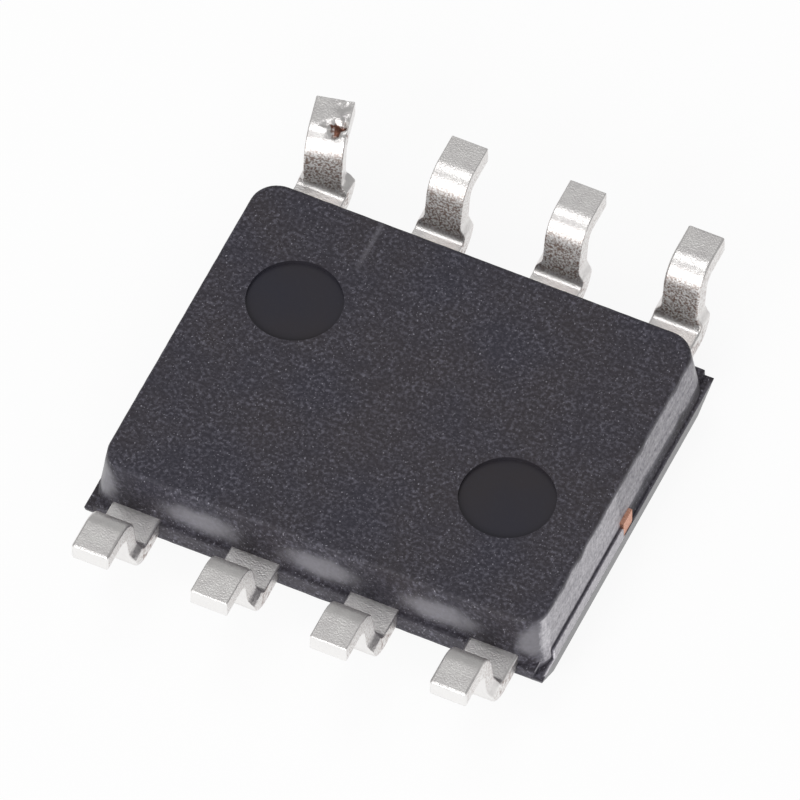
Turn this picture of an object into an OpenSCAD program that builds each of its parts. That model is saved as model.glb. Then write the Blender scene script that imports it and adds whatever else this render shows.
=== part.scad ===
// Eight-lead small-outline integrated circuit, lying on its back.
// The marked top of the package is down at z = 0, and the soles of the leads face up.
// X runs along the rows of leads, Y across the package, and Z is up.
// Leads 1 to 4 are on the -Y side, where the package's top has a bevel, and lead 5 is knocked askew.

/* [Package] */
// Length of the moulding at its parting edge
body_len = 4.9; // [4.8:0.02:5.1]
// Width of the moulding at its parting edge
body_wid = 3.98; // [3.8:0.02:4.08]
// Thickness of the moulding, from its top to its underside
body_th = 1.25; // [1.24:0.01:1.4]
// Depth of the underside half, from the parting plane to the underside
under_depth = 0.69; // [0.64:0.005:0.72]
// Overhang of the parting edge past the underside half
lip = 0.03; // [0.03:0.005:0.06]
// Draft of the underside half's walls, in degrees
under_draft = 6.5; // [4:0.5:9]
// Draft of the top half's walls, in degrees
top_draft = 12; // [8:0.5:14]
// Width of the 45 degree bevel of the top, along leads 1 to 4
bevel_w = 0.4; // [0.25:0.01:0.42]
// Radius of the underside half's upright corners
corner_r = 0.28; // [0.2:0.02:0.36]
// Radius of the rounding round the underside face
edge_r = 0.04; // [0.02:0.01:0.07]

/* [Moulding marks] */
// Diameter of the two ejector-pin marks in the underside
ejector_d = 0.96; // [0.7:0.02:1.1]
// Depth of the ejector-pin marks
ejector_depth = 0.045; // [0.02:0.005:0.08]
// Distance of each ejector-pin mark from the middle, along X
ejector_x = 1.43; // [1.2:0.01:1.6]
// Distance of each ejector-pin mark from the middle of the pair, along Y
ejector_y = 0.63; // [0.4:0.01:0.8]
// Offset of the pair of marks from the middle of the package, along Y
ejector_offset = 0.03; // [0:0.005:0.1]
// Diameter of the pin-one dimple in the package's top
dimple_d = 0.6; // [0.4:0.02:0.8]
// Depth of the pin-one dimple
dimple_depth = 0.08; // [0.04:0.01:0.12]
// Distance of the dimple's centre from the two edges of the top next to lead 1
dimple_inset = 0.66; // [0.55:0.01:0.9]
// Length of the gate scar on one end
gate_len = 1.6; // [1.2:0.05:1.7]
// Height of the gate scar above the parting plane
gate_h = 0.13; // [0.06:0.01:0.2]

/* [Leads] */
// Distance between the middles of neighbouring leads
pitch = 1.27; // [1.25:0.005:1.29]
// Thickness of the leadframe strip
lead_t = 0.2; // [0.17:0.005:0.25]
// Width of a lead's leg and foot
lead_w = 0.39; // [0.33:0.005:0.42]
// Width of a lead's shoulder, with the cut stubs of the dam bar
shoulder_w = 0.52; // [0.46:0.005:0.54]
// Distance over the tips of opposite feet
span = 6.0; // [5.9:0.02:6.1]
// Height of the soles above the underside
standoff = 0.17; // [0.14:0.005:0.24]
// Distance that the leads are formed to stand out past the parting edge
lead_out = 1.01; // [0.95:0.01:1.1]
// Distance from the parting edge to the crease where a lead turns up, as formed
crease_reach = 0.33; // [0.32:0.005:0.4]
// Steepness of the legs, in degrees
leg_angle = 80; // [70:1:84]
// Inside radius of the bend at the shoulder
shoulder_r = 0.08; // [0.04:0.01:0.09]
// Outside radius of the heel's bend
heel_r = 0.3; // [0.26:0.01:0.4]
// Height on the leg at which the dam bar's stubs start to narrow
stub_h = 0.02; // [0.02:0.01:0.1]
// Height over which the stubs narrow to the leg
stub_taper = 0.12; // [0.06:0.01:0.14]

/* [Knocked lead] */
// Turn of lead 5's leg and foot about an upright line, in degrees
knock_turn = 13; // [0:1:16]
// Distance that lead 5's foot is pushed back towards the package
knock_push = 0.03; // [0.02:0.005:0.06]
// Drop of lead 5's foot from the level of the other soles
knock_drop = 0.045; // [0:0.005:0.06]

/* [Leadframe] */
// Length of the die paddle
paddle_len = 2.5; // [2.3:0.02:2.6]
// Width of the die paddle
paddle_wid = 2.1; // [1.9:0.02:2.2]
// Offset of the paddle from the leads' plane, towards the underside
downset = 0.15; // [0.1:0.01:0.2]
// Width of the two tie bars that held the paddle
tie_w = 0.2; // [0.2:0.01:0.3]
// Length that the cut tie bars stand short of the parting edge
tie_short = 0.01; // [0.005:0.005:0.03]
// Gap between the paddle and the fingers, in plan
finger_gap = 0.2; // [0.16:0.01:0.24]
// Distance that the corner fingers reach past the paddle's long edge
corner_reach = 0.55; // [0.45:0.01:0.6]
// Width of the corner fingers' tips, along Y
corner_tip = 0.45; // [0.38:0.01:0.5]
// Radius of the notches that lock the fingers in the moulding
lock_r = 0.08; // [0.05:0.01:0.1]

/* [Die] */
// Length of the silicon die
die_len = 1.6; // [1.4:0.02:1.8]
// Width of the silicon die
die_wid = 1.3; // [1.1:0.02:1.5]
// Thickness of the silicon die
die_t = 0.25; // [0.2:0.01:0.28]
// Thickness of the die attach
attach_t = 0.025; // [0.02:0.005:0.04]
// Margin of the die attach round the die
attach_margin = 0.04; // [0.02:0.01:0.08]
// Distance of the bond pads from the die's edges
pad_inset = 0.12; // [0.08:0.01:0.16]

/* [Bond wires] */
// Diameter of the gold wire
wire_d = 0.025; // [0.018:0.001:0.033]
// Diameter of the ball on the die's pad
ball_d = 0.075; // [0.06:0.005:0.09]
// Height of the ball
ball_h = 0.02; // [0.015:0.001:0.025]
// Height of the wire's loop over the die
loop_h = 0.16; // [0.12:0.01:0.2]
// Distance of the far bond from the finger's tip
stitch_inset = 0.12; // [0.08:0.01:0.15]

/* [Hidden] */

epoxy_grey = "#3a383d";
tin = "#c9c8c6";
copper = "#c98a6a";
silver_epoxy = "#a8a49c";
silicon = "#5d6470";
gold = "#e0b04a";

per_row = 4;                // leads along each side
knocked_n = 5;              // the lead that is knocked askew
eps = 0.002;                // overlap of shapes that are joined
round_fn = 96;              // sides of the round marks and notches
bend_steps = 12;            // flats on each bend of a lead
post_fn = 32;               // sides of the body's corner posts
wire_fn = 8;                // sides of a bond wire
wire_steps = 12;            // straight stretches of a bond wire

// Levels, from the top of the package at z = 0
part_z = body_th - under_depth;       // parting plane, and the leadframe's lower face
frame_z = part_z + lead_t;            // the leadframe's upper face
sole_z = body_th + standoff;          // the feet's soles

// Half sizes of the moulding, in plan
edge_x = body_len / 2;
edge_y = body_wid / 2;
under_x = edge_x - lip;               // the underside half at the parting plane
under_y = edge_y - lip;
under_in = under_depth * tan(under_draft);
top_in = part_z * tan(top_draft);
top_x = edge_x - top_in;              // the package's top at z = 0
top_y = edge_y - top_in;
flat_y = top_y - bevel_w;             // the top's edge at the bevel
bevel_z = bevel_w / (1 - tan(top_draft));         // where the bevel meets the drafted wall
bevel_y = flat_y + bevel_z;

// The lead's bends: crease, end of the shoulder's bend, start of the heel and of the sole.
// They keep their place from the tip, so that a wider span or a narrower body only lengthens the shoulder.
tip_y = span / 2;
crease_y = tip_y - lead_out + crease_reach;
knee_y = crease_y - shoulder_r * tan(leg_angle / 2);
leg_y = knee_y + shoulder_r * sin(leg_angle);
leg_z = frame_z + shoulder_r * (1 - cos(leg_angle));
heel_z = sole_z - heel_r * (1 - cos(leg_angle));
leg_l = (heel_z - leg_z) / sin(leg_angle);
sole_y = leg_y + leg_l * cos(leg_angle) + heel_r * sin(leg_angle);

// Fingers inside the moulding
finger_y = paddle_wid / 2 + finger_gap;           // tips of the middle fingers
corner_x = paddle_len / 2 + finger_gap;           // tips of the corner fingers
corner_y = paddle_wid / 2 - corner_reach;         // inner edge of the corner fingers
lock_y = (finger_y + under_y) / 2;                // notches of the middle fingers
jog_x = paddle_len / 2 + finger_gap;              // where the tie bars are level with the leads

// The die hangs below the paddle in this pose, with its pads facing down
paddle_z = part_z + downset;
attach_z = paddle_z - attach_t;
die_z = attach_z - die_t;

// Lead n counts round the package: 1 to 4 along -Y from +X, and 5 to 8 along +Y from -X
function row_of(n) = n <= per_row ? -1 : 1;
function place_of(n) = n <= per_row ? per_row + 1 - n : n - per_row;
function lead_x(n) = (place_of(n) - (per_row + 1) / 2) * pitch;
function is_corner(n) = place_of(n) == 1 || place_of(n) == per_row;
function end_of(n) = sign(lead_x(n));

// A solid drawn by its outline in Y and Z, and w wide along X
module across(w) {
    rotate([90, 0, 90]) linear_extrude(w, center = true) children();
}

// A solid drawn by its outline in X and Z, and w wide along Y
module along(w) {
    rotate([90, 0, 0]) linear_extrude(w, center = true) children();
}

// Points on an arc round a centre, from angle a0 to a1
function arc(centre, r, a0, a1) = [
    for (i = [0 : bend_steps]) let (a = a0 + (a1 - a0) * i / bend_steps) centre + r * [cos(a), sin(a)]
];

// ---- Leads ----

// The bent strip outside the moulding, in Y and Z: shoulder, knee, leg, heel and foot
module strip_outline() {
    knee = [knee_y, frame_z + shoulder_r];
    heel = [sole_y, sole_z - heel_r];
    polygon(concat(
        [[under_y, part_z]],
        arc(knee, shoulder_r + lead_t, -90, leg_angle - 90),
        arc(heel, heel_r - lead_t, 90 + leg_angle, 90),
        [[tip_y, sole_z - lead_t], [tip_y, sole_z]],
        arc(heel, heel_r, 90, 90 + leg_angle),
        arc(knee, shoulder_r, leg_angle - 90, -90),
        [[under_y, frame_z]]
    ));
}

// Width of the lead at each height, in X and Z: the stubs, their taper, and the leg
module front_outline() {
    taper_z = frame_z + stub_h;
    leg_top = taper_z + stub_taper;
    half_s = shoulder_w / 2;
    half_w = lead_w / 2;
    polygon([
        [-half_s, 0], [half_s, 0], [half_s, taper_z], [half_w, leg_top], [half_w, 2 * sole_z],
        [-half_w, 2 * sole_z], [-half_w, leg_top], [-half_s, taper_z]
    ]);
}

// Plan of a middle finger, inside the moulding
module middle_finger_plan() {
    difference() {
        translate([-shoulder_w / 2, finger_y]) square([shoulder_w, edge_y - finger_y]);
        for (side = [-1, 1])
            translate([side * shoulder_w / 2, lock_y]) circle(lock_r, $fn = round_fn);
    }
}

// Plan of a corner finger, which turns in towards the paddle; end is the end of the package it is at
module corner_finger_plan(end, x) {
    reach = abs(x) - corner_x;
    translate([-shoulder_w / 2, corner_y]) square([shoulder_w, edge_y - corner_y]);
    translate([end > 0 ? -reach : 0, corner_y]) square([reach, corner_tip]);
}

// Everything outside the moulding, for a lead at x = 0 on the +Y side
module outer_lead() {
    intersection() {
        across(2 * shoulder_w) strip_outline();
        translate([0, tip_y, 0]) along(2 * tip_y) front_outline();
    }
}

// The outer lead between two heights
module lead_slice(low, high) {
    intersection() {
        outer_lead();
        translate([-pitch / 2, 0, low]) cube([pitch, tip_y, high - low]);
    }
}

// The move of a knocked foot: turned about an upright line through the knee, pushed back and dropped
module knocked() {
    translate([0, leg_y - knock_push, -knock_drop]) rotate([0, 0, knock_turn])
        translate([0, -leg_y, 0]) children();
}

// A knocked lead: the leg twists over the height of the stubs' taper
module knocked_lead() {
    taper_z = frame_z + stub_h;
    leg_top = taper_z + stub_taper;
    lead_slice(0, taper_z);
    hull() {
        lead_slice(taper_z - eps, taper_z);
        knocked() lead_slice(leg_top, leg_top + eps);
    }
    knocked() lead_slice(leg_top, sole_z);
}

module finger(n) {
    translate([0, 0, part_z]) linear_extrude(lead_t)
        if (is_corner(n)) corner_finger_plan(end_of(n) * row_of(n), lead_x(n));
        else middle_finger_plan();
}

// Lead n, whole: its finger, shoulder, leg, heel and foot are one strip
module lead(n) {
    color(tin) translate([lead_x(n), 0, 0]) rotate([0, 0, row_of(n) > 0 ? 0 : 180]) {
        finger(n);
        if (n == knocked_n) knocked_lead();
        else outer_lead();
    }
}

module lead_1() { lead(1); }
module lead_2() { lead(2); }
module lead_3() { lead(3); }
module lead_4() { lead(4); }
module lead_5() { lead(5); }
module lead_6() { lead(6); }
module lead_7() { lead(7); }
module lead_8() { lead(8); }

// ---- Paddle, die and wires ----

// A tie bar towards +X: it jogs from the paddle's level to the leads' plane and ends at the end wall
module tie_bar() {
    start = paddle_len / 2;
    end = edge_x - tie_short;
    along(tie_w) polygon([
        [start - eps, paddle_z], [start, paddle_z], [jog_x, part_z], [end, part_z],
        [end, frame_z], [jog_x, frame_z], [start, paddle_z + lead_t], [start - eps, paddle_z + lead_t]
    ]);
}

module die_paddle() {
    color(copper) {
        translate([-paddle_len / 2, -paddle_wid / 2, paddle_z]) cube([paddle_len, paddle_wid, lead_t]);
        tie_bar();
        rotate([0, 0, 180]) tie_bar();
    }
}

module slab(len, wid, th, z) {
    translate([-len / 2, -wid / 2, z]) cube([len, wid, th]);
}

module die_attach() {
    color(silver_epoxy) slab(die_len + 2 * attach_margin, die_wid + 2 * attach_margin, attach_t, attach_z);
}

module die() {
    color(silicon) slab(die_len, die_wid, die_t, die_z);
}

// Plan places of a wire's two bonds: on the die, and on the finger
function bond_pad(n) = is_corner(n)
    ? [end_of(n) * (die_len / 2 - pad_inset), row_of(n) * die_wid / 4]
    : [sign(lead_x(n)) * die_len / 4, row_of(n) * (die_wid / 2 - pad_inset)];
function bond_finger(n) = is_corner(n)
    ? [end_of(n) * (corner_x + stitch_inset), row_of(n) * (corner_y + corner_tip / 2)]
    : [lead_x(n), row_of(n) * (finger_y + stitch_inset)];

// A point at t from 0 to 1 on the cubic curve through four control points
function curve(p, t) = pow(1 - t, 3) * p[0] + 3 * t * pow(1 - t, 2) * p[1]
    + 3 * t * t * (1 - t) * p[2] + pow(t, 3) * p[3];

// Side view of a wire's loop: distance along the wire, and height below the leads' lower face
function loop_side(run, drop) = [
    for (i = [0 : wire_steps]) curve([
        [0, drop + ball_h / 2], [0, drop + 1.5 * loop_h], [0.4 * run, drop + loop_h], [run, wire_d / 2]
    ], i / wire_steps)
];

// A ring of points round a loop's point, square to the loop's run there
function ring(side, i) = let (
    a = side[max(i - 1, 0)],
    b = side[min(i + 1, len(side) - 1)],
    along_run = i == 0 ? [0, 1] : (b - a) / norm(b - a)
) [
    for (k = [0 : wire_fn - 1]) let (turn = 360 * (k + 0.5) / wire_fn, r = wire_d / 2) [
        side[i][0] - along_run[1] * r * cos(turn),
        r * sin(turn),
        -side[i][1] - along_run[0] * r * cos(turn)
    ]
];

// A round wire swept along a loop drawn in side view
module swept_wire(side) {
    rings = len(side);
    points = [for (i = [0 : rings - 1]) each ring(side, i)];
    walls = [
        for (i = [0 : rings - 2], k = [0 : wire_fn - 1]) let (
            a = i * wire_fn + k,
            b = i * wire_fn + (k + 1) % wire_fn
        ) [a, b, b + wire_fn, a + wire_fn]
    ];
    first = [for (k = [wire_fn - 1 : -1 : 0]) k];
    last = [for (k = [0 : wire_fn - 1]) (rings - 1) * wire_fn + k];
    polyhedron(points, concat([first], walls, [last]), convexity = 4);
}

// Wire n: a ball on the die, a loop, and a stitch pressed on the finger
module wire(n) {
    from = bond_pad(n);
    to = bond_finger(n);
    run = norm(to - from);
    heading = atan2(to[1] - from[1], to[0] - from[0]);
    drop = part_z - die_z;
    color(gold) translate([from[0], from[1], 0]) rotate([0, 0, heading]) {
        translate([0, 0, die_z - ball_h]) cylinder(h = ball_h, d = ball_d, $fn = 12);
        translate([0, 0, part_z]) swept_wire(loop_side(run, drop));
        translate([run, 0, part_z - wire_d]) cylinder(h = wire_d, d = 2 * wire_d, $fn = 12);
    }
}

module wire_1() { wire(1); }
module wire_2() { wire(2); }
module wire_3() { wire(3); }
module wire_4() { wire(4); }
module wire_5() { wire(5); }
module wire_6() { wire(6); }
module wire_7() { wire(7); }
module wire_8() { wire(8); }

module inserts() {
    for (n = [1 : 2 * per_row]) {
        lead(n);
        wire(n);
    }
    die_paddle();
    die_attach();
    die();
}

// ---- Moulding ----

// The top half: straight drafted walls that meet at sharp corners, and a bevel along leads 1 to 4
module top_half() {
    intersection() {
        along(body_wid) polygon([[-top_x, 0], [top_x, 0], [edge_x, part_z], [-edge_x, part_z]]);
        across(body_len) polygon([
            [-flat_y, 0], [top_y, 0], [edge_y, part_z], [-edge_y, part_z], [-bevel_y, bevel_z]
        ]);
    }
}

// One upright corner of the underside half: a drafted post with a rounded rim
module corner_post() {
    rim = corner_r - (under_depth - edge_r) * tan(under_draft);
    rotate_extrude($fn = post_fn) polygon(concat(
        [[0, part_z - eps], [corner_r, part_z - eps]],
        [for (a = [0 : 30 : 90]) [rim - edge_r * (1 - cos(a)), body_th - edge_r * (1 - sin(a))]],
        [[0, body_th]]
    ));
}

// The underside half: drafted, with round upright corners and a rounded rim
module under_half() {
    hull()
        for (x = [-1, 1], y = [-1, 1])
            translate([x * (under_x - corner_r), y * (under_y - corner_r), 0]) corner_post();
}

// Resin that filled the gaps between the leads up to the dam bar
module dam_resin() {
    reach = per_row * pitch / 2 - (pitch - shoulder_w) / 4;
    for (side = [-1, 1])
        translate([-reach, side > 0 ? 0 : -edge_y, part_z - eps]) cube([2 * reach, edge_y, lead_t + eps]);
}

// Scar of the gate, broken off along one end's parting edge
module gate_scar() {
    wall_x = under_x - under_in;
    foot_z = part_z - eps;
    top_z = part_z + gate_h;
    translate([0, -tie_w / 2 - gate_len / 2, 0]) along(gate_len) polygon([
        [wall_x, foot_z], [edge_x, foot_z], [edge_x, part_z],
        [under_x - gate_h * tan(under_draft), top_z], [wall_x, top_z]
    ]);
}

// Round recess with its floor depth below the face at z = 0, opening upwards
module round_mark(d, depth) {
    translate([0, 0, -depth]) cylinder(h = 2 * depth, d = d, $fn = round_fn);
}

module marks() {
    for (side = [-1, 1])
        translate([side * ejector_x, ejector_offset - side * ejector_y, body_th])
            round_mark(ejector_d, ejector_depth);
    translate([top_x - dimple_inset, dimple_inset - flat_y, 0]) round_mark(dimple_d, dimple_depth);
}

module body() {
    color(epoxy_grey) difference() {
        union() {
            top_half();
            under_half();
            dam_resin();
            gate_scar();
        }
        marks();
        inserts();
    }
}

body();
lead_1();
lead_2();
lead_3();
lead_4();
lead_5();
lead_6();
lead_7();
lead_8();
die_paddle();
die_attach();
die();
wire_1();
wire_2();
wire_3();
wire_4();
wire_5();
wire_6();
wire_7();
wire_8();
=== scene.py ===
"""Looks of an eight-lead small-outline chip that lies on its marked top, with its soles up.

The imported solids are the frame. The moulding and the eight leads are remade here with the rounded
edges, grit, burnish and damage of the real ones. The paddle, die and wires keep their solids and get
their finishes. Lengths are in millimetres until a mesh is finished, and in metres after that.
"""

import logging
import math
from dataclasses import dataclass, field
from enum import Enum
from typing import Iterable

import bmesh
import bpy
from bmesh import ops
from bmesh.types import BMEdge, BMesh, BMLayerItem, BMVert
from bpy.types import Material, Node, NodeSocket, NodeTree, Object
from mathutils import Matrix, Vector, noise


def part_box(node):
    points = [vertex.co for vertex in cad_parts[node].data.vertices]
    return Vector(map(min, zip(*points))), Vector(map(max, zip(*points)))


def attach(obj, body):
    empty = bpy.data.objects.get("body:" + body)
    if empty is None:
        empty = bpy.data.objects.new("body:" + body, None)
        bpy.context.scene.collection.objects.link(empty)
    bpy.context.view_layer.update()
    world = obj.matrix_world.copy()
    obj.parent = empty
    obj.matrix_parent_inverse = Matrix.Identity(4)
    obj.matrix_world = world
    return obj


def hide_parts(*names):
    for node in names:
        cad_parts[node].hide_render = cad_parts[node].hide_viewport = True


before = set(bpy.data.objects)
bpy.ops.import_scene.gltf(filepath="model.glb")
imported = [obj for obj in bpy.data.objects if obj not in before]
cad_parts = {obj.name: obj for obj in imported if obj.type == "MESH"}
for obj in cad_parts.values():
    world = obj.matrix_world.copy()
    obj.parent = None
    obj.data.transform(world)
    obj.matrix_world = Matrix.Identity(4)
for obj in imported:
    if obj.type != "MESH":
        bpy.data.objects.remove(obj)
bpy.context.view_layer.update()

log = logging.getLogger("chip")

MM = 0.001  # metres in a millimetre
KNOCKED = 5  # number of the lead that is askew
SHARP_ANGLE = 35.0  # faces that meet at more than this many degrees keep a crisp edge


# ---- Small tools ----


def linear(hex_code: str) -> tuple:
    """Turns an sRGB hex colour into linear values.

    Args:
        hex_code: colour as "#rrggbb".

    Returns:
        Red, green, blue and a full alpha.
    """
    channels = [int(hex_code[i : i + 2], 16) / 255 for i in (1, 3, 5)]
    return (*(c / 12.92 if c <= 0.04045 else ((c + 0.055) / 1.055) ** 2.4 for c in channels), 1.0)


def smooth_step(low: float, high: float, value: float) -> float:
    """Eases from 0 at low to 1 at high.

    Args:
        low: value at which the result leaves 0.
        high: value at which the result reaches 1.
        value: where to read it.

    Returns:
        A number from 0 to 1.
    """
    t = min(1.0, max(0.0, (value - low) / (high - low)))
    return t * t * (3 - 2 * t)


def add_node(tree: NodeTree, kind: str, inputs: dict | None = None, **settings: object) -> Node:
    """Adds a shader node with its settings and links.

    Args:
        tree: node tree to add it to.
        kind: type of the node without its prefix, such as "Math".
        inputs: socket name or number to a value, to an output socket that feeds it, or to a node
            whose first live output feeds it.
        settings: properties of the node.

    Returns:
        The new node.
    """
    node = tree.nodes.new(f"ShaderNode{kind}")
    for name, value in settings.items():
        setattr(node, name, value)
    for name, value in (inputs or {}).items():
        if isinstance(value, Node):
            value = next(socket for socket in value.outputs if socket.enabled)
        if isinstance(value, NodeSocket):
            tree.links.new(value, node.inputs[name])
        else:
            node.inputs[name].default_value = value
    return node


def box_mm(node: str) -> tuple[Vector, Vector]:
    """Lowest and highest corner of a solid of the frame, in millimetres."""
    low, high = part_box(node)
    return low / MM, high / MM


@dataclass(frozen=True)
class LeadSizes:
    """What the solids of the leads say of all eight, in millimetres."""

    part_z: float  # height of the parting plane, on which the leads' fingers lie
    sole_z: float
    tip_y: float
    shoulder_w: float  # width over the dam bar's stubs
    pitch: float


def measured_leads() -> LeadSizes:
    """Measures two leads that stand side by side.

    Returns:
        Their sizes.
    """
    low, high = box_mm("lead_2")
    next_low, next_high = box_mm("lead_3")
    pitch = abs(low.x + high.x - next_low.x - next_high.x) / 2
    return LeadSizes(low.z, high.z, -low.y, high.x - low.x, pitch)


def finish_mesh(bm: BMesh, name: str) -> Object:
    """Turns a bmesh in millimetres into a smooth-shaded object in metres.

    Args:
        bm: the finished bmesh, which is freed.
        name: name of the piece.

    Returns:
        The object, at the origin with its place in its mesh.
    """
    ops.scale(bm, vec=(MM, MM, MM), verts=bm.verts)
    for face in bm.faces:
        face.smooth = True
    mesh = bpy.data.meshes.new(name)
    bm.to_mesh(mesh)
    bm.free()
    mesh.set_sharp_from_angle(angle=math.radians(SHARP_ANGLE))
    piece = bpy.data.objects.new(name, mesh)
    bpy.context.scene.collection.objects.link(piece)
    return piece


class Solid(Enum):
    """How one solid is combined with another."""

    JOIN = "UNION"
    CUT = "DIFFERENCE"


def combine(base: BMesh, tool: BMesh, how: Solid) -> BMesh:
    """Joins two closed solids, or cuts one with the other.

    Args:
        base: solid that is kept, which is freed.
        tool: solid that is added or taken away, which is freed.
        how: whether the tool is joined or cuts.

    Returns:
        The combined solid.
    """
    objects = []
    for bm in (base, tool):
        mesh = bpy.data.meshes.new("tool")
        bm.to_mesh(mesh)
        bm.free()
        objects.append(bpy.data.objects.new("tool", mesh))
        bpy.context.scene.collection.objects.link(objects[-1])
    modifier = objects[0].modifiers.new("combine", "BOOLEAN")
    modifier.operation = how.value
    modifier.solver = "EXACT"
    modifier.object = objects[1]
    evaluated = objects[0].evaluated_get(bpy.context.evaluated_depsgraph_get())
    result = bmesh.new()
    result.from_mesh(evaluated.to_mesh())
    evaluated.to_mesh_clear()
    for thing in objects:
        mesh = thing.data
        bpy.data.objects.remove(thing)
        bpy.data.meshes.remove(mesh)
    return result


def cut_into_cells(bm: BMesh, axis: int, low: float, high: float, size: float) -> None:
    """Cuts a mesh with parallel planes, so that it has vertices where wear and grit move it.

    Args:
        bm: mesh to cut.
        axis: 0, 1 or 2 for planes square to X, Y or Z.
        low: where the mesh begins on that axis.
        high: where it ends.
        size: about how far apart the planes stand.
    """
    normal = Vector((0, 0, 0))
    normal[axis] = 1
    count = round((high - low) / size)
    for i in range(1, count):
        place = normal * (low + (high - low) * i / count)
        geometry = bm.verts[:] + bm.edges[:] + bm.faces[:]
        ops.bisect_plane(bm, geom=geometry, dist=1e-5, plane_co=place, plane_no=normal)


# ---- Finishes ----


@dataclass(frozen=True)
class Finish:
    """What a surface is made of and how it was made."""

    name: str
    colour: str
    roughness: float

    def start(self) -> tuple[Material, NodeTree]:
        """Makes an empty material.

        Returns:
            The material and its node tree.
        """
        material = bpy.data.materials.new(self.name)
        material.use_nodes = True
        material.node_tree.nodes.clear()
        return material, material.node_tree

    def surface(self, tree: NodeTree, inputs: dict) -> None:
        """Adds the Principled shader and joins it to the output.

        Args:
            tree: the material's nodes.
            inputs: what feeds the shader, besides the finish's own colour and roughness.
        """
        plain = {"Base Color": linear(self.colour), "Roughness": self.roughness}
        shader = add_node(tree, "BsdfPrincipled", plain | inputs)
        add_node(tree, "OutputMaterial", {"Surface": shader})

    def millimetres(self, tree: NodeTree, stretch: tuple = (1, 1, 1)) -> Node:
        """Adds Object coordinates in millimetres.

        Args:
            tree: the material's nodes.
            stretch: how many times denser a pattern is along each axis.

        Returns:
            The node that gives them.
        """
        place = add_node(tree, "TexCoord").outputs["Object"]
        return add_node(tree, "Mapping", {"Vector": place, "Scale": tuple(s / MM for s in stretch)})

    def patches(
        self, tree: NodeTree, place: Node, size: float, low: float, high: float, detail: int = 3
    ) -> Node:
        """Adds patches with soft edges.

        Args:
            tree: the material's nodes.
            place: coordinates in mm.
            size: how far across they are, in millimetres.
            low: value of the noise, from 0 to 1, at which a patch begins.
            high: value at which it is full.
            detail: how many finer layers lie on them.

        Returns:
            The node that says how much of a patch there is at a place, from 0 to 1.
        """
        blobs = add_node(tree, "TexNoise", {"Vector": place, "Scale": 1 / size, "Detail": detail})
        return add_node(tree, "MapRange", {"Value": blobs, "From Min": low, "From Max": high})

    def layers(self, tree: NodeTree, ground: tuple | Node, coats: Iterable[tuple]) -> Node:
        """Lays coats of colour over a ground, one after the other.

        Args:
            tree: the material's nodes.
            ground: the first colour.
            coats: for each coat its share at a place, from 0 to 1, and its colour.

        Returns:
            The node that gives the last colour.
        """
        for share, coat in coats:
            coat = linear(coat) if isinstance(coat, str) else coat
            ground = add_node(tree, "Mix", {0: share, 6: ground, 7: coat}, data_type="RGBA")
        return ground


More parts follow.
